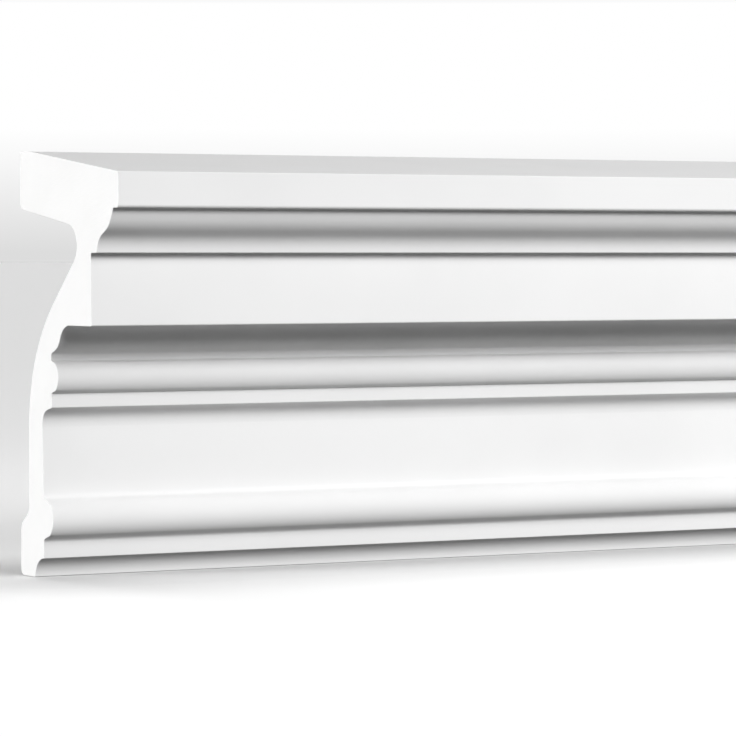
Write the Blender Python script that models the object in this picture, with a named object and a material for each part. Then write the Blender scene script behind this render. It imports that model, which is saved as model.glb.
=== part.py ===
"""A straight length of window sill moulding: one casting, moulded in front and hollow behind.

The section is drawn with two coordinates, the projection out from the wall and the height above
the foot, and is then swept along the wall. In the model +X runs along the wall, +Y goes into the
wall and +Z is up. The origin lies on the upper back strip, the face that is fixed to the wall.
"""

import math

import bmesh
import bpy
from mathutils import Vector

# Length of the piece, cut square at both ends
LENGTH = 1.000

# Heights of the front members, from the foot up. The flare is the stretch where the apron turns
# out to the foot's bead
FOOT_COVE_RADIUS = 0.0092
FOOT_FILLET_HEIGHT = 0.0090
FOOT_BEAD_HALF_HEIGHT = 0.0094
FOOT_BEAD_FLARE = 0.0007
APRON_HEIGHT = 0.0328
APRON_COVE_HEIGHT = 0.0097
NECK_LOWER_FILLET_HEIGHT = 0.0065
NECK_BEAD_HALF_HEIGHT = 0.0077
NECK_UPPER_FILLET_HEIGHT = 0.0034
NECK_CYMA_HEIGHT = 0.0133
MIDDLE_FASCIA_HEIGHT = 0.0336
CROWN_CYMA_HEIGHT = 0.0204
CROWN_FASCIA_HEIGHT = 0.0165
TOP_FALL = 0.0107

# How far each front member stands out past the one below it. The fascia and the apron lean, and
# the neck is set back a little from the fillet that it stands on
FOOT_BEAD_DEPTH = 0.0096
APRON_LEAN = 0.0015
APRON_COVE_DEPTH = 0.0100
NECK_SETBACK = 0.0006
NECK_BEAD_DEPTH = 0.0073
NECK_CYMA_DEPTH = 0.0172
MIDDLE_OVERHANG = 0.0242
MIDDLE_LEAN = 0.0006
CROWN_STEP = 0.0060
CROWN_CYMA_DEPTH = 0.0161
CROWN_SOFFIT_DEPTH = 0.0037
CROWN_DRIP_RADIUS = 0.0015
TOP_LEDGE_DEPTH = 0.0110

# Wall of the casting, and the hollow behind it
WALL_THICKNESS = 0.0143
BACK_RECESS = 0.0085
FOOT_STRIP_HEIGHT = 0.0215
FOOT_OGEE_HEIGHT = 0.0115
BACK_BEND_DROP = 0.0008
BACK_BEND_REACH = 0.0360
HOLLOW_TIP_RADIUS = 0.0102
HEAD_STRIP_HEIGHT = 0.0268
HEAD_UNDERSIDE_DEGREES = 8.5

# Radii that ease the corners
ARRIS_EASE = 0.0008
APRON_FOOT_EASE = 0.0030
CROWN_TOP_EASE = 0.0004
FOOT_BACK_EASE = 0.0034
HEAD_BACK_EASE = 0.0036

# The free curves: how strongly each end holds its direction, and how many degrees that direction
# falls below level
CROWN_CYMA_HEAD_PULL = 0.0157
CROWN_CYMA_HEAD_FALL = 73.0
CROWN_CYMA_FOOT_PULL = 0.0128
CROWN_CYMA_FOOT_FALL = 81.5
NECK_CYMA_HEAD_PULL = 0.0122
NECK_CYMA_HEAD_FALL = 15.0
NECK_CYMA_FOOT_PULL = 0.0141
NECK_CYMA_FOOT_FALL = 16.0
APRON_COVE_HEAD_PULL = 0.0052
APRON_COVE_HEAD_FALL = 15.0
APRON_COVE_FOOT_PULL = 0.0086
FOOT_OGEE_PULL = 0.0055
PLUMB = 90.0

# How far round a bead runs above and below its middle, in degrees
BEAD_HEAD_TURN = 65.0
BEAD_FOOT_TURN = 52.0

# Facets of the round stretches, and the turn from which an edge between two faces is a sharp one
QUARTER_STEPS = 12
CURVE_STEPS = 20
EASE_STEPS = 6
SHARP_EDGE_DEGREES = 30.0

FOAM_COLOUR = (0.84, 0.84, 0.83, 1.0)
FOAM_ROUGHNESS = 0.55


def clear_scene():
    for thing in list(bpy.data.objects):
        bpy.data.objects.remove(thing, do_unlink=True)


def arc(centre, radius, start_degrees, end_degrees, steps):
    """Points along a circle, both ends included."""
    points = []
    for step in range(steps + 1):
        angle = math.radians(start_degrees + (end_degrees - start_degrees) * step / steps)
        points.append(centre + radius * Vector((math.cos(angle), math.sin(angle))))
    return points


def pull(strength, fall_degrees):
    """A pull towards the wall that falls so many degrees below level, or rises if they are less."""
    fall = math.radians(fall_degrees)
    return -strength * Vector((math.cos(fall), math.sin(fall)))


def free_curve(start, head_pull, end, foot_pull):
    """A curve that leaves start along one pull and arrives at end along the other."""
    first = start + head_pull
    second = end - foot_pull
    points = []
    for step in range(CURVE_STEPS + 1):
        t = step / CURVE_STEPS
        s = 1.0 - t
        points.append(s**3 * start + 3 * s**2 * t * first + 3 * s * t**2 * second + t**3 * end)
    return points


def bend(start, corner, end):
    """One easy bend that leaves start and reaches end along the lines through the corner."""
    points = []
    for step in range(CURVE_STEPS + 1):
        t = step / CURVE_STEPS
        points.append((1.0 - t)**2 * start + 2.0 * t * (1.0 - t) * corner + t**2 * end)
    return points


def eased_corner(before, corner, after, radius):
    """The arc that rounds a corner, kept short of half of each side that meets there."""
    to_before = (before - corner).normalized()
    to_after = (after - corner).normalized()
    half_angle = to_before.angle(to_after) / 2.0
    longest = min((before - corner).length, (after - corner).length) / 2.0
    setback = min(radius / math.tan(half_angle), longest)
    radius = setback * math.tan(half_angle)
    centre = corner + (to_before + to_after).normalized() * radius / math.sin(half_angle)
    first = corner + setback * to_before - centre
    last = corner + setback * to_after - centre
    turn = last.angle_signed(first)
    start = math.atan2(first.y, first.x)
    return arc(centre, radius, math.degrees(start), math.degrees(start + turn), EASE_STEPS)


def plain(points):
    """Outline points that are not rounded."""
    return [(point, 0.0) for point in points]


def heights():
    """The level of each member's foot above the foot of the moulding."""
    levels = {"foot_fillet": FOOT_COVE_RADIUS}
    levels["foot_bead"] = levels["foot_fillet"] + FOOT_FILLET_HEIGHT
    levels["apron"] = levels["foot_bead"] + 2.0 * FOOT_BEAD_HALF_HEIGHT + FOOT_BEAD_FLARE
    levels["apron_cove"] = levels["apron"] + APRON_HEIGHT
    levels["neck_lower_fillet"] = levels["apron_cove"] + APRON_COVE_HEIGHT
    levels["neck_bead"] = levels["neck_lower_fillet"] + NECK_LOWER_FILLET_HEIGHT
    levels["neck_upper_fillet"] = levels["neck_bead"] + 2.0 * NECK_BEAD_HALF_HEIGHT
    levels["neck_cyma"] = levels["neck_upper_fillet"] + NECK_UPPER_FILLET_HEIGHT
    levels["middle_fascia"] = levels["neck_cyma"] + NECK_CYMA_HEIGHT
    levels["crown_cyma"] = levels["middle_fascia"] + MIDDLE_FASCIA_HEIGHT
    levels["crown_fascia"] = levels["crown_cyma"] + CROWN_CYMA_HEIGHT
    levels["front_edge"] = levels["crown_fascia"] + CROWN_FASCIA_HEIGHT
    levels["top"] = levels["front_edge"] + TOP_FALL
    return levels


def projections():
    """How far each upright face stands out from the wall."""
    faces = {"apron": BACK_RECESS + WALL_THICKNESS}
    faces["foot"] = faces["apron"] + APRON_LEAN
    faces["fillet"] = faces["apron"] + APRON_COVE_DEPTH
    faces["neck"] = faces["fillet"] - NECK_SETBACK
    faces["neck_cyma"] = faces["neck"] + NECK_CYMA_DEPTH
    faces["middle_foot"] = faces["neck_cyma"] + MIDDLE_OVERHANG
    faces["middle_head"] = faces["middle_foot"] - MIDDLE_LEAN
    faces["cyma_foot"] = faces["middle_head"] + CROWN_STEP
    faces["cyma_head"] = faces["cyma_foot"] + CROWN_CYMA_DEPTH
    faces["drip"] = faces["cyma_head"] + CROWN_SOFFIT_DEPTH
    faces["crown"] = faces["drip"] + CROWN_DRIP_RADIUS
    return faces


def crown_outline(level, face):
    """The weathered top, the crown fascia with its drip edge and the cyma under it."""
    drip = Vector((face["drip"], level["crown_fascia"] + CROWN_DRIP_RADIUS))
    cyma_head = Vector((face["cyma_head"], level["crown_fascia"]))
    cyma_foot = Vector((face["cyma_foot"], level["crown_cyma"]))
    head_pull = pull(CROWN_CYMA_HEAD_PULL, CROWN_CYMA_HEAD_FALL)
    foot_pull = pull(CROWN_CYMA_FOOT_PULL, CROWN_CYMA_FOOT_FALL)
    return [
        (Vector((0.0, level["top"])), ARRIS_EASE),
        (Vector((TOP_LEDGE_DEPTH, level["top"])), 0.0),
        (Vector((face["crown"], level["front_edge"])), CROWN_TOP_EASE),
        *plain(arc(drip, CROWN_DRIP_RADIUS, 0.0, -90.0, QUARTER_STEPS)),
        *plain(free_curve(cyma_head, head_pull, cyma_foot, foot_pull)),
    ]


def middle_outline(level, face):
    """The middle fascia, its soffit and the double curve that carries it."""
    curve_head = Vector((face["neck_cyma"], level["middle_fascia"]))
    curve_foot = Vector((face["neck"], level["neck_cyma"]))
    head_pull = pull(NECK_CYMA_HEAD_PULL, NECK_CYMA_HEAD_FALL)
    foot_pull = pull(NECK_CYMA_FOOT_PULL, NECK_CYMA_FOOT_FALL)
    return [
        (Vector((face["middle_head"], level["crown_cyma"])), 0.0),
        (Vector((face["middle_foot"], level["middle_fascia"])), ARRIS_EASE),
        *plain(free_curve(curve_head, head_pull, curve_foot, foot_pull)),
    ]


def bead(face, foot_level, half_height, depth):
    """The round part of a bead and the flat slope under it that falls back to the face."""
    points = []
    for point in arc(Vector((0.0, 0.0)), half_height, BEAD_HEAD_TURN, -BEAD_FOOT_TURN, 2 * QUARTER_STEPS):
        stand_out = point.x * depth / half_height
        points.append(Vector((face + stand_out, foot_level + half_height + point.y)))
    return plain([*points, Vector((face, foot_level))])


def apron_cove(level, face):
    """The hollow that falls from the fillet's lower edge and dies into the apron."""
    head = Vector((face["fillet"], level["neck_lower_fillet"]))
    foot = Vector((face["apron"], level["apron_cove"]))
    head_pull = pull(APRON_COVE_HEAD_PULL, APRON_COVE_HEAD_FALL)
    return plain(free_curve(head, head_pull, foot, pull(APRON_COVE_FOOT_PULL, PLUMB)))


def foot_cove(face):
    """The quarter hollow under the foot's fillet."""
    centre = Vector((face["foot"], 0.0))
    return plain(arc(centre, FOOT_COVE_RADIUS, 90.0, 180.0, QUARTER_STEPS))


def lower_front_outline(level, face):
    """The neck bead on its fillet, the apron with its cove, the foot bead and the foot's own cove."""
    return [
        (Vector((face["neck"], level["neck_upper_fillet"])), 0.0),
        *bead(face["neck"], level["neck_bead"], NECK_BEAD_HALF_HEIGHT, NECK_BEAD_DEPTH),
        (Vector((face["fillet"], level["neck_bead"])), 0.0),
        *apron_cove(level, face),
        (Vector((face["foot"], level["apron"])), APRON_FOOT_EASE),
        *bead(face["foot"], level["foot_bead"], FOOT_BEAD_HALF_HEIGHT, FOOT_BEAD_DEPTH),
        *foot_cove(face),
    ]


def foot_back_outline():
    """The foot's strip against the wall and the ogee that leads to the recessed back."""
    strip_head = Vector((0.0, FOOT_STRIP_HEIGHT))
    ogee_head = Vector((BACK_RECESS, FOOT_STRIP_HEIGHT + FOOT_OGEE_HEIGHT))
    rise = pull(FOOT_OGEE_PULL, -PLUMB)
    return [
        (Vector((0.0, 0.0)), FOOT_BACK_EASE),
        *plain(free_curve(strip_head, rise, ogee_head, rise)),
    ]


def hollow_outline(level, face):
    """The bent back of the wall, the round tip of the hollow and the underside of the head."""
    slope = math.radians(HEAD_UNDERSIDE_DEGREES)
    tip_projection = face["middle_head"] - WALL_THICKNESS - HOLLOW_TIP_RADIUS
    underside = level["top"] - HEAD_STRIP_HEIGHT - tip_projection * math.tan(slope)
    tip = Vector((tip_projection, underside - HOLLOW_TIP_RADIUS / math.cos(slope)))
    corner = Vector((BACK_RECESS, level["neck_cyma"] - BACK_BEND_DROP))
    to_tip = tip - corner
    tangent_angle = math.atan2(to_tip.y, to_tip.x) - math.asin(HOLLOW_TIP_RADIUS / to_tip.length)
    along = Vector((math.cos(tangent_angle), math.sin(tangent_angle)))
    bend_start = corner - Vector((0.0, BACK_BEND_REACH))
    bend_end = corner + BACK_BEND_REACH * along
    tip_start = math.degrees(tangent_angle) - 90.0
    tip_end = 90.0 - HEAD_UNDERSIDE_DEGREES
    return [
        *plain(bend(bend_start, corner, bend_end)),
        *plain(arc(tip, HOLLOW_TIP_RADIUS, tip_start, tip_end, 2 * QUARTER_STEPS)),
        (Vector((0.0, level["top"] - HEAD_STRIP_HEIGHT)), HEAD_BACK_EASE),
    ]


def section_outline():
    """The whole outline, from the top's back edge over the front and down, then up the back."""
    level = heights()
    face = projections()
    corners = [
        *crown_outline(level, face),
        *middle_outline(level, face),
        *lower_front_outline(level, face),
        *foot_back_outline(),
        *hollow_outline(level, face),
    ]
    points = []
    for index, (corner, ease) in enumerate(corners):
        if ease:
            before = corners[index - 1][0]
            after = corners[(index + 1) % len(corners)][0]
            points.extend(eased_corner(before, corner, after, ease))
        else:
            points.append(corner)
    return points


def foam_material():
    material = bpy.data.materials.new("white_primed_foam")
    material.use_nodes = True
    shader = material.node_tree.nodes["Principled BSDF"]
    shader.inputs["Base Color"].default_value = FOAM_COLOUR
    shader.inputs["Roughness"].default_value = FOAM_ROUGHNESS
    shader.inputs["Metallic"].default_value = 0.0
    return material


def swept_mesh(name, outline, seat_height):
    """The section swept along the wall, with the seat's height at the origin's level."""
    shape = bmesh.new()
    ring = [shape.verts.new((-LENGTH / 2.0, -point.x, point.y - seat_height)) for point in outline]
    shape.faces.new(ring)
    swept = bmesh.ops.extrude_face_region(shape, geom=shape.faces[:])
    moved = [item for item in swept["geom"] if isinstance(item, bmesh.types.BMVert)]
    bmesh.ops.translate(shape, verts=moved, vec=(LENGTH, 0.0, 0.0))
    bmesh.ops.recalc_face_normals(shape, faces=shape.faces[:])
    mesh = bpy.data.meshes.new(name)
    shape.to_mesh(mesh)
    shape.free()
    mesh.shade_smooth()
    mesh.set_sharp_from_angle(angle=math.radians(SHARP_EDGE_DEGREES))
    return mesh


def build_moulding():
    seat_height = heights()["top"] - HEAD_STRIP_HEIGHT / 2.0
    mesh = swept_mesh("sill_moulding", section_outline(), seat_height)
    mesh.materials.append(foam_material())
    moulding = bpy.data.objects.new("sill_moulding", mesh)
    bpy.context.collection.objects.link(moulding)


clear_scene()
build_moulding()
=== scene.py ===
"""The looks of the window sill moulding: one foam casting on a pale studio floor."""
import math

import bmesh
import bpy
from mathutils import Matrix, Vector


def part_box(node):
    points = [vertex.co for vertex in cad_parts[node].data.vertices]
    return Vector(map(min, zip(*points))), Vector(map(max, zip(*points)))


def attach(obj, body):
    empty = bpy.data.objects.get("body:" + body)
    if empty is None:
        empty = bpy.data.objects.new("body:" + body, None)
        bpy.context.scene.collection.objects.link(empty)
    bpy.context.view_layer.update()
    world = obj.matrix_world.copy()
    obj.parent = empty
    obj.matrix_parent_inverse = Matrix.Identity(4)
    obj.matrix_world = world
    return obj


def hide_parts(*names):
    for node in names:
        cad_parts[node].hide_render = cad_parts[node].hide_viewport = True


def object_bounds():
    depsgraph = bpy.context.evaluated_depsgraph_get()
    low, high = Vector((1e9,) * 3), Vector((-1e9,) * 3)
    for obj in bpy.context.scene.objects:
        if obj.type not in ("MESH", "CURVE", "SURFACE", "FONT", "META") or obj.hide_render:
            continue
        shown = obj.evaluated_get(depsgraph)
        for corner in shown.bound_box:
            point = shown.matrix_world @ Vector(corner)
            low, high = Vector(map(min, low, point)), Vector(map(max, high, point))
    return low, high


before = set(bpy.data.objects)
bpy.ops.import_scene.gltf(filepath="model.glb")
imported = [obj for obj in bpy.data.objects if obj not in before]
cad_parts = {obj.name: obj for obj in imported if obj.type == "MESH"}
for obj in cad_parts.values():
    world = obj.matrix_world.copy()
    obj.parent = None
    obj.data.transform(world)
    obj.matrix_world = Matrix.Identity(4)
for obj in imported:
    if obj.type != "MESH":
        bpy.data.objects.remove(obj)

CAD_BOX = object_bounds()

# The photograph's frame, and the camera that took it
PHOTO_SIZE = 736
FOCAL_PIXELS = 3955.0
HORIZON_PIXEL = 252.6
CAMERA_YAW = math.radians(31.0)
CORNER_PIXEL = (118.0, 171.0)
CORNER_DEPTH = 1.782
CORNER_BELOW_TOP = 0.0107
SENSOR_WIDTH = 36.0
CAMERA_REACH = 100.0

# Outline: what counts as one point, as the end's plane, as a sharp corner and as a flat
WELD_DISTANCE = 1e-6
END_PLANE_TOLERANCE = 1e-5
SHORTEST_STEP = 2e-5
SHARP_TURN = math.radians(20.0)
FLAT_LENGTH = 0.0020

# How finely the outline is drawn, how far its corners and ends are eased, and the largest share
# of a stretch that an eased corner takes
CURVE_SUBSTEPS = 3
ARRIS_EASE = 0.0005
INNER_CORNER_EASE = 0.0012
EASE_STEPS = 5
EASED_SHARE = 0.4
END_EASE = 0.0003
END_EASE_STEPS = 3
LENGTH_STEPS = 24

CASTING = "sill_moulding"
FLAT_FACE_WEIGHT = 100

# Which way a face looks decides its finish
END_FACING = 0.9
BACK_FACING = 0.02
WALL_PLANE_TOLERANCE = 0.0002
FRONT, END, BACK, BED = range(4)

# Foam and primer colours, linear
PRIMER_WHITE = (0.845, 0.845, 0.845, 1.0)
PRIMER_DULL = (0.817, 0.817, 0.817, 1.0)
FOAM_WHITE = (0.900, 0.900, 0.897, 1.0)
FOAM_CELL_SHADE = (0.870, 0.870, 0.864, 1.0)
SKIN_WHITE = (0.835, 0.832, 0.822, 1.0)
SKIN_DULL = (0.790, 0.786, 0.772, 1.0)
BED_WHITE = (0.850, 0.846, 0.834, 1.0)
BED_DULL = (0.770, 0.764, 0.748, 1.0)

# The sawn ends: cells to the metre, and the saw's marks with the middle of their arcs
CELLS_PER_METRE = 2200.0
SAW_MARK_SCALE = 110.0
SAW_OFFSET = (0.0, 0.150, 0.260)

# The colour sockets of a mix node, which come after those for numbers and vectors
MIX_FIRST_COLOUR, MIX_SECOND_COLOUR = 6, 7
MIX_COLOUR_RESULT = 2

# The floor: a painted pool of light, glow from the floor itself, lies in front of the moulding and fades
# with the distance from its middle. The glow dies away close to the moulding, which paints a soft shadow
# round its foot
FLOOR_COLOUR = (0.84, 0.84, 0.84, 1.0)
FLOOR_ROUGHNESS = 0.9
FLOOR_SEGMENTS = 64
FLOOR_RADIUS = 60.0
FLOOR_GAP = 0.0001
PAINTED_POOL_GLOW = 0.32
FLOOR_FAR_GLOW = 0.20
PAINTED_POOL_MIDDLE = (0.0, -0.90, 0.0)
PAINTED_POOL_FULL_RADIUS = 0.80
PAINTED_POOL_END_RADIUS = 2.20
# Painted shadow: how far from the moulding's foot the floor's glow stays dimmed
PAINTED_SHADOW_REACH = 0.13
FOOT_DEPTH = 0.024

# The light band of the studio: the sine of an elevation, and how bright the studio is there
STUDIO_BANDS = (
    (-1.000, 0.220),
    (-0.720, 0.220),
    (-0.680, 0.030),
    (-0.020, 0.030),
    (-0.010, 0.718),
    (0.000, 0.718),
    (0.030, 1.000),
    (0.066, 1.000),
    (0.074, 0.020),
    (1.000, 0.020),
)


def lies_at(face, x):
    """Whether the face lies square across the moulding, at the given place along it."""
    return all(abs(vert.co.x - x) < END_PLANE_TOLERANCE for vert in face.verts)


def end_outline(node):
    """The outline of the node's left end as (y, z) points, in order round the section."""
    shape = bmesh.new()
    shape.from_mesh(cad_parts[node].data)
    bmesh.ops.remove_doubles(shape, verts=shape.verts[:], dist=WELD_DISTANCE)
    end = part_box(node)[0].x
    cap = {face for face in shape.faces if lies_at(face, end)}
    rim = [edge for edge in shape.edges if sum(face in cap for face in edge.link_faces) == 1]
    neighbours = {}
    for edge in rim:
        for vert in edge.verts:
            neighbours.setdefault(vert, []).append(edge.other_vert(vert))
    start = rim[0].verts[0]
    ring = [start]
    previous = None
    while True:
        options = [vert for vert in neighbours[ring[-1]] if vert != previous]
        previous = ring[-1]
        if options[0] == start:
            break
        ring.append(options[0])
    points = [Vector((vert.co.y, vert.co.z)) for vert in ring]
    shape.free()
    if signed_area(points) < 0.0:
        points.reverse()
    return points


def signed_area(points):
    """The area inside the outline, positive where it runs anticlockwise."""
    return sum(points[i - 1].cross(points[i]) for i in range(len(points))) / 2.0


def vertex_tangents(points):
    """For each point the directions in which its edges arrive and leave, and whether they part."""
    count = len(points)
    edges = [points[(i + 1) % count] - points[i] for i in range(count)]
    arrive, leave, parted = [], [], []
    for i in range(count):
        before, after = edges[i - 1], edges[i]
        flat_before, flat_after = before.length > FLAT_LENGTH, after.length > FLAT_LENGTH
        parts = before.angle(after) > SHARP_TURN or (flat_before and flat_after)
        if flat_before:
            along = before.normalized()
        elif flat_after:
            along = after.normalized()
        else:
            along = (before.normalized() * after.length + after.normalized() * before.length).normalized()
        arrive.append(before.normalized() if parts else along)
        leave.append(after.normalized() if parts else along)
        parted.append(parts)
    return arrive, leave, parted


def hermite(start, end, leaving, arriving, t):
    """A point on the cubic that leaves start and arrives at end along the given directions."""
    reach = (end - start).length
    return (
        (2 * t**3 - 3 * t**2 + 1) * start
        + (t**3 - 2 * t**2 + t) * reach * leaving
        + (3 * t**2 - 2 * t**3) * end
        + (t**3 - t**2) * reach * arriving
    )


def smooth_spans(points):
    """The outline as smooth stretches, each running from one sharp corner to the next."""
    arrive, leave, parted = vertex_tangents(points)
    count = len(points)
    first = parted.index(True)
    spans = []
    for offset in range(count):
        i = (first + offset) % count
        j = (i + 1) % count
        if parted[i]:
            spans.append([points[i]])
        flat = (points[j] - points[i]).length > FLAT_LENGTH
        steps = 1 if flat else CURVE_SUBSTEPS
        for step in range(1, steps + 1):
            spans[-1].append(hermite(points[i], points[j], leave[i], arrive[j], step / steps))
    return spans


def trimmed(span, amount):
    """The span with its first stretch of the given length cut off."""
    whole = sum((end - start).length for start, end in zip(span, span[1:]))
    amount = min(amount, EASED_SHARE * whole)
    for index, (start, end) in enumerate(zip(span, span[1:])):
        length = (end - start).length
        if amount < length:
            return [start.lerp(end, amount / length), *span[index + 1:]]
        amount -= length
    return span


def corner_ease(arriving, leaving):
    """How far a corner is eased: the primer fills an inner one more than it rounds an arris."""
    corner = leaving[0]
    turn = (corner - arriving[-2]).cross(leaving[1] - corner)
    return ARRIS_EASE if turn > 0.0 else INNER_CORNER_EASE


def eased_outline(points):
    """The outline with every sharp corner eased by a small curve."""
    spans = smooth_spans(points)
    eases = [corner_ease(spans[i - 1], spans[i]) for i in range(len(spans))]
    cut = []
    for index, span in enumerate(spans):
        next_ease = eases[(index + 1) % len(spans)]
        cut.append(trimmed(trimmed(span, eases[index])[::-1], next_ease)[::-1])
    outline = []
    for index, span in enumerate(cut):
        corner = spans[index][0]
        start, end = cut[index - 1][-1], span[0]
        for step in range(1, EASE_STEPS):
            t = step / EASE_STEPS
            outline.append((1 - t)**2 * start + 2 * t * (1 - t) * corner + t**2 * end)
        outline.extend(span)
    return [point for i, point in enumerate(outline) if (point - outline[i - 1]).length > SHORTEST_STEP]


def outward_directions(outline):
    """At each point the direction out of the solid, square to the line between its neighbours."""
    count = len(outline)
    directions = []
    for i in range(count):
        along = outline[(i + 1) % count] - outline[i - 1]
        directions.append(Vector((along.y, -along.x)).normalized())
    return directions


def length_stations():
    """Where the section is repeated along the wall, and how far it is drawn in there."""
    low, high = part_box(CASTING)
    eased = []
    for step in range(END_EASE_STEPS + 1):
        angle = math.pi / 2.0 * step / END_EASE_STEPS
        eased.append((END_EASE * (1.0 - math.cos(angle)), END_EASE * (1.0 - math.sin(angle))))
    run = high.x - low.x - 2.0 * END_EASE
    left = [(low.x + along, inset) for along, inset in eased]
    middle = [(low.x + END_EASE + run * step / LENGTH_STEPS, 0.0) for step in range(1, LENGTH_STEPS)]
    right = [(high.x - along, inset) for along, inset in reversed(eased)]
    return left + middle + right


def finish_of(face):
    """The finish that a face has: moulded front, sawn end, skin of the back or bedding strip."""
    if abs(face.normal.x) > END_FACING:
        return END
    if face.normal.y < BACK_FACING:
        return FRONT
    on_wall = all(abs(vert.co.y) < WALL_PLANE_TOLERANCE for vert in face.verts)
    return BED if on_wall else BACK


def moulding_mesh(name, outline):
    """The outline swept along the wall, with its two sawn ends lightly eased."""
    outward = outward_directions(outline)
    shape = bmesh.new()
    rings = []
    for x, inset in length_stations():
        ring = [point - inset * out for point, out in zip(outline, outward)]
        rings.append([shape.verts.new((x, point.x, point.y)) for point in ring])
    for ring, following in zip(rings, rings[1:]):
        for i in range(len(ring)):
            shape.faces.new((ring[i - 1], ring[i], following[i], following[i - 1]))
    shape.faces.new(rings[0])
    shape.faces.new(rings[-1][::-1])
    bmesh.ops.recalc_face_normals(shape, faces=shape.faces[:])
    for face in shape.faces:
        face.material_index = finish_of(face)
    mesh = bpy.data.meshes.new(name)
    shape.to_mesh(mesh)
    shape.free()
    mesh.shade_smooth()
    return mesh


def make_casting():
    """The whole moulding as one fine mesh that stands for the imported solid."""
    outline = eased_outline(end_outline(CASTING))
    mesh = moulding_mesh("foam_casting", outline)
    casting = bpy.data.objects.new("foam_casting", mesh)
    bpy.context.scene.collection.objects.link(casting)
    weighted = casting.modifiers.new("flat faces stay flat", "WEIGHTED_NORMAL")
    weighted.weight = FLAT_FACE_WEIGHT
    for material in (front_primer(), sawn_foam(), back_skin(), bedding_strip()):
        mesh.materials.append(material)
    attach(casting, "root")
    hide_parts(CASTING)


def new_material(name, specular):
    """A material with its specular level set, its node tree and its shader."""
    material = bpy.data.materials.new(name)
    material.use_nodes = True
    tree = material.node_tree
    shader = tree.nodes["Principled BSDF"]
    shader.inputs["Specular IOR Level"].default_value = specular
    return material, tree, shader


def add_node(tree, kind, settings, inputs):
    """A new node with its settings made and its sockets filled or linked."""
    made = tree.nodes.new(kind)
    for name, value in settings.items():
        setattr(made, name, value)
    for name, value in inputs.items():
        if isinstance(value, bpy.types.NodeSocket):
            tree.links.new(value, made.inputs[name])
        else:
            made.inputs[name].default_value = value
    return made


def stretched_place(tree, stretch):
    """The place on the object in metres, scaled by its own factor along each axis."""
    place = add_node(tree, "ShaderNodeTexCoord", {}, {})
    mapping = add_node(tree, "ShaderNodeMapping", {}, {"Vector": place.outputs["Object"], "Scale": stretch})
    return mapping.outputs["Vector"]


def mottle(tree, size, detail, stretch=(1.0, 1.0, 1.0)):
    """A soft random value whose patches are about the given size in metres."""
    inputs = {"Vector": stretched_place(tree, stretch), "Scale": 1.0 / size, "Detail": detail}
    return add_node(tree, "ShaderNodeTexNoise", {}, inputs).outputs["Fac"]


def ranged(tree, value, span, result):
    """The value carried smoothly from its span to the result's, and held at the ends."""
    inputs = {
        "Value": value,
        "From Min": span[0],
        "From Max": span[1],
        "To Min": result[0],
        "To Max": result[1],
    }
    settings = {"interpolation_type": "SMOOTHSTEP"}
    return add_node(tree, "ShaderNodeMapRange", settings, inputs).outputs["Result"]


def blended(tree, amount, first, second):
    """Two colours, the second by the given amount."""
    mix = add_node(tree, "ShaderNodeMix", {"data_type": "RGBA"}, {})
    tree.links.new(amount, mix.inputs["Factor"])
    mix.inputs[MIX_FIRST_COLOUR].default_value = first
    mix.inputs[MIX_SECOND_COLOUR].default_value = second
    return mix.outputs[MIX_COLOUR_RESULT]


def relief(tree, height, depth, below=None):
    """A bump of the given depth in metres, laid over another one."""
    inputs = {"Height": height, "Strength": 1.0, "Distance": depth}
    if below is not None:
        inputs["Normal"] = below
    return add_node(tree, "ShaderNodeBump", {}, inputs).outputs["Normal"]


def finish(tree, shader, colour, roughness, normal):
    """Link a finish's colour, roughness and relief to its shader."""
    tree.links.new(colour, shader.inputs["Base Color"])
    tree.links.new(roughness, shader.inputs["Roughness"])
    tree.links.new(normal, shader.inputs["Normal"])


def front_primer():
    """Smooth matt primer: faint clouds, faint draw lines along the mould and a fine orange peel."""
    material, tree, shader = new_material("front primer", specular=0.2)
    clouds = mottle(tree, size=0.090, detail=3.0)
    draw_lines = mottle(tree, size=0.0016, detail=2.0, stretch=(0.012, 1.0, 1.0))
    peel = mottle(tree, size=0.0022, detail=2.0)
    grain = mottle(tree, size=0.00045, detail=2.0)
    dulled = ranged(tree, clouds, span=(0.35, 0.75), result=(0.0, 1.0))
    colour = blended(tree, dulled, PRIMER_WHITE, PRIMER_DULL)
    roughness = ranged(tree, clouds, span=(0.3, 0.7), result=(0.65, 0.75))
    normal = relief(tree, draw_lines, depth=0.000012)
    normal = relief(tree, peel, depth=0.000020, below=normal)
    normal = relief(tree, grain, depth=0.000003, below=normal)
    finish(tree, shader, colour, roughness, normal)
    return material


def sawn_foam():
    """Bare closed-cell foam, cut by a saw: tiny open cells and faint arcs of its teeth."""
    material, tree, shader = new_material("sawn foam", specular=0.25)
    place = stretched_place(tree, (1.0, 1.0, 1.0))
    cells = add_node(tree, "ShaderNodeTexVoronoi", {}, {"Vector": place, "Scale": CELLS_PER_METRE})
    pits = ranged(tree, cells.outputs["Distance"], span=(0.15, 0.6), result=(0.0, 1.0))
    shifted = add_node(tree, "ShaderNodeMapping", {}, {"Vector": place, "Location": SAW_OFFSET})
    teeth = add_node(
        tree,
        "ShaderNodeTexWave",
        {"wave_type": "RINGS", "rings_direction": "X"},
        {"Vector": shifted.outputs["Vector"], "Scale": SAW_MARK_SCALE, "Distortion": 1.5, "Detail": 2.0},
    )
    patches = mottle(tree, size=0.020, detail=3.0)
    shaded = ranged(tree, patches, span=(0.3, 0.8), result=(0.0, 0.6))
    colour = blended(tree, shaded, FOAM_WHITE, FOAM_CELL_SHADE)
    roughness = ranged(tree, patches, span=(0.3, 0.7), result=(0.80, 0.90))
    normal = relief(tree, teeth.outputs["Fac"], depth=0.000008)
    normal = relief(tree, pits, depth=0.000030, below=normal)
    finish(tree, shader, colour, roughness, normal)
    return material


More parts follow.
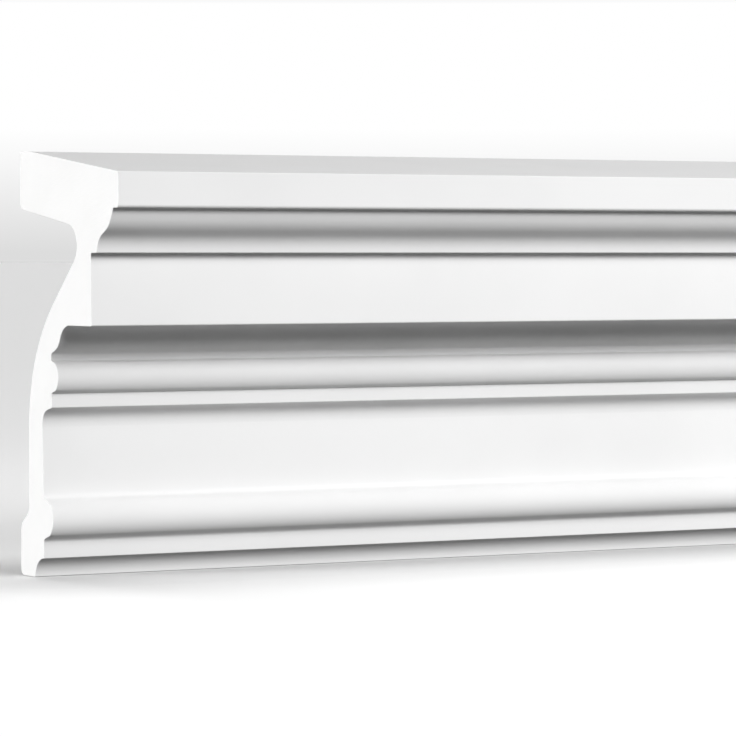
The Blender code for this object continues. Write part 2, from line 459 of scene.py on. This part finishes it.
def back_skin():
    """The unpainted skin of the foam behind: flow marks, small dimples and a dull bloom."""
    material, tree, shader = new_material("back skin", specular=0.35)
    flow = mottle(tree, size=0.030, detail=4.0, stretch=(0.30, 1.0, 1.0))
    dimples = mottle(tree, size=0.0050, detail=3.0)
    grain = mottle(tree, size=0.0008, detail=2.0)
    bloom = ranged(tree, flow, span=(0.3, 0.75), result=(0.0, 1.0))
    colour = blended(tree, bloom, SKIN_WHITE, SKIN_DULL)
    roughness = ranged(tree, flow, span=(0.3, 0.7), result=(0.55, 0.75))
    normal = relief(tree, flow, depth=0.000120)
    normal = relief(tree, dimples, depth=0.000050, below=normal)
    normal = relief(tree, grain, depth=0.000006, below=normal)
    finish(tree, shader, colour, roughness, normal)
    return material


def bedding_strip():
    """The two strips that meet the wall, sanded flat along their length."""
    material, tree, shader = new_material("bedding strip", specular=0.3)
    scratches = mottle(tree, size=0.0009, detail=3.0, stretch=(0.020, 1.0, 1.0))
    patches = mottle(tree, size=0.025, detail=3.0, stretch=(0.5, 1.0, 1.0))
    grain = mottle(tree, size=0.0006, detail=2.0)
    sanded = ranged(tree, scratches, span=(0.35, 0.75), result=(0.0, 1.0))
    colour = blended(tree, sanded, BED_WHITE, BED_DULL)
    roughness = ranged(tree, patches, span=(0.3, 0.7), result=(0.72, 0.86))
    normal = relief(tree, scratches, depth=0.000030)
    normal = relief(tree, grain, depth=0.000010, below=normal)
    finish(tree, shader, colour, roughness, normal)
    return material


def vector_step(tree, operation, first, second=None):
    """One step of vector arithmetic on a socket, with a fixed value where it needs one."""
    step = add_node(tree, "ShaderNodeVectorMath", {"operation": operation}, {})
    tree.links.new(first, step.inputs[0])
    if second is not None:
        step.inputs[1].default_value = second
    return step


def distance_from(tree, place, middle, half_size):
    """How far the place lies outside a flat box round the middle."""
    offset = vector_step(tree, "SUBTRACT", place, middle).outputs["Vector"]
    folded = vector_step(tree, "ABSOLUTE", offset).outputs["Vector"]
    beyond = vector_step(tree, "SUBTRACT", folded, half_size).outputs["Vector"]
    outside = vector_step(tree, "MAXIMUM", beyond, (0.0, 0.0, 0.0)).outputs["Vector"]
    return vector_step(tree, "LENGTH", outside).outputs["Value"]


def floor_material():
    """Pale and matt, with a painted pool of light as emission and a painted shadow round the moulding's
    foot.
    """
    material, tree, shader = new_material("pale floor with painted light and shadow", specular=0.2)
    shader.inputs["Roughness"].default_value = FLOOR_ROUGHNESS
    shader.inputs["Base Color"].default_value = FLOOR_COLOUR
    shader.inputs["Emission Color"].default_value = (1.0, 1.0, 1.0, 1.0)
    place = add_node(tree, "ShaderNodeTexCoord", {}, {}).outputs["Object"]
    low, high = CAD_BOX
    foot_middle = ((low.x + high.x) / 2.0, -FOOT_DEPTH / 2.0, 0.0)
    foot_half_size = ((high.x - low.x) / 2.0, FOOT_DEPTH / 2.0, 0.0)
    from_painted_pool = distance_from(tree, place, PAINTED_POOL_MIDDLE, (0.0, 0.0, 0.0))
    from_foot = distance_from(tree, place, foot_middle, foot_half_size)
    painted_pool_span = (PAINTED_POOL_FULL_RADIUS, PAINTED_POOL_END_RADIUS)
    # Painted pool of light: the floor glows most round the pool's middle and less further out
    painted_light_pool = ranged(tree, from_painted_pool, span=painted_pool_span, result=(PAINTED_POOL_GLOW, FLOOR_FAR_GLOW))
    # Painted shadow: near the moulding's foot the floor's glow is taken away, so the floor looks shaded
    # there
    painted_foot_shadow = ranged(tree, from_foot, span=(0.0, PAINTED_SHADOW_REACH), result=(0.0, 1.0))
    painted_glow = add_node(tree, "ShaderNodeMath", {"operation": "MULTIPLY"}, {})
    tree.links.new(painted_light_pool, painted_glow.inputs[0])
    tree.links.new(painted_foot_shadow, painted_glow.inputs[1])
    tree.links.new(painted_glow.outputs["Value"], shader.inputs["Emission Strength"])
    return material


def make_floor():
    """A wide pale disc under the moulding that throws no light back on it."""
    shape = bmesh.new()
    bmesh.ops.create_circle(shape, cap_ends=True, segments=FLOOR_SEGMENTS, radius=FLOOR_RADIUS)
    mesh = bpy.data.meshes.new("studio_floor")
    shape.to_mesh(mesh)
    shape.free()
    mesh.materials.append(floor_material())
    floor = bpy.data.objects.new("studio_floor", mesh)
    floor.location = (0.0, 0.0, CAD_BOX[0].z - FLOOR_GAP)
    floor.visible_diffuse = False
    floor.visible_glossy = False
    bpy.context.scene.collection.objects.link(floor)


def make_camera():
    """A long lens in front and to the left, level with the crown, as in the photograph."""
    low, high = CAD_BOX
    pitch = math.atan((PHOTO_SIZE / 2.0 - HORIZON_PIXEL) / FOCAL_PIXELS)
    forward = Vector((
        math.sin(CAMERA_YAW) * math.cos(pitch),
        math.cos(CAMERA_YAW) * math.cos(pitch),
        -math.sin(pitch),
    ))
    right = Vector((math.cos(CAMERA_YAW), -math.sin(CAMERA_YAW), 0.0))
    up = right.cross(forward)
    corner = Vector((low.x, low.y, high.z - CORNER_BELOW_TOP))
    across = (CORNER_PIXEL[0] - PHOTO_SIZE / 2.0) / FOCAL_PIXELS
    down = (CORNER_PIXEL[1] - PHOTO_SIZE / 2.0) / FOCAL_PIXELS
    camera = bpy.data.objects.new("camera", bpy.data.cameras.new("camera"))
    camera.data.sensor_width = SENSOR_WIDTH
    camera.data.lens = FOCAL_PIXELS / PHOTO_SIZE * SENSOR_WIDTH
    camera.data.clip_end = CAMERA_REACH
    camera.location = corner - CORNER_DEPTH * (forward + across * right - down * up)
    camera.rotation_mode = "QUATERNION"
    camera.rotation_quaternion = forward.to_track_quat("-Z", "Y")
    bpy.context.scene.collection.objects.link(camera)
    bpy.context.scene.camera = camera


def make_world():
    """A studio that is pale near the horizon, white above it and dim below."""
    world = bpy.data.worlds.new("studio")
    world.use_nodes = True
    tree = world.node_tree
    background = tree.nodes["Background"]
    direction = add_node(tree, "ShaderNodeTexCoord", {}, {}).outputs["Generated"]
    rise = add_node(tree, "ShaderNodeSeparateXYZ", {}, {"Vector": direction}).outputs["Z"]
    share = add_node(tree, "ShaderNodeMapRange", {}, {"Value": rise, "From Min": -1.0}).outputs["Result"]
    ramp = add_node(tree, "ShaderNodeValToRGB", {}, {"Fac": share})
    stops = ramp.color_ramp.elements
    while len(stops) < len(STUDIO_BANDS):
        stops.new(1.0)
    for stop, (sine, level) in zip(stops, STUDIO_BANDS):
        stop.position = (sine + 1.0) / 2.0
        stop.color = (level, level, level, 1.0)
    tree.links.new(ramp.outputs["Color"], background.inputs["Color"])
    bpy.context.scene.world = world


def make_light(name, kind, azimuth, elevation, strength):
    """A light and the direction towards it. Azimuth 0 shines on the front, 90 on the left end."""
    a, e = math.radians(azimuth), math.radians(elevation)
    towards_light = Vector((-math.sin(a) * math.cos(e), -math.cos(a) * math.cos(e), math.sin(e)))
    light = bpy.data.objects.new(name, bpy.data.lights.new(name, kind))
    light.data.energy = strength
    light.rotation_mode = "QUATERNION"
    light.rotation_quaternion = (-towards_light).to_track_quat("-Z", "Y")
    bpy.context.scene.collection.objects.link(light)
    return light, towards_light


def make_sun(name, azimuth, elevation, strength, softness):
    """A light so far away that it is even, with shadow edges as soft as the angle given."""
    light, _ = make_light(name, "SUN", azimuth, elevation, strength)
    light.data.angle = math.radians(softness)


def make_soft_box(name, azimuth, elevation, distance, diameter, power):
    """A round soft box at a distance from the middle of the moulding."""
    low, high = CAD_BOX
    light, towards_light = make_light(name, "AREA", azimuth, elevation, power)
    light.data.shape = "DISK"
    light.data.size = diameter
    light.location = (low + high) / 2.0 + distance * towards_light


def make_lights():
    """A broad front light from two sources, and softer ones on the top, the ends and the back."""
    make_sun("key", azimuth=0.0, elevation=22.0, strength=1.58, softness=22.0)
    make_soft_box("upper right", azimuth=-12.0, elevation=30.0, distance=1.55, diameter=0.90, power=16.0)
    make_sun("overhead", azimuth=180.0, elevation=70.0, strength=0.31, softness=30.0)
    make_sun("left", azimuth=97.0, elevation=7.0, strength=3.05, softness=12.0)
    make_sun("right", azimuth=-97.0, elevation=7.0, strength=2.10, softness=12.0)
    make_sun("back", azimuth=180.0, elevation=7.0, strength=1.60, softness=20.0)


make_camera()
make_casting()
make_floor()
make_world()
make_lights()
bpy.context.scene.view_settings.view_transform = "Standard"
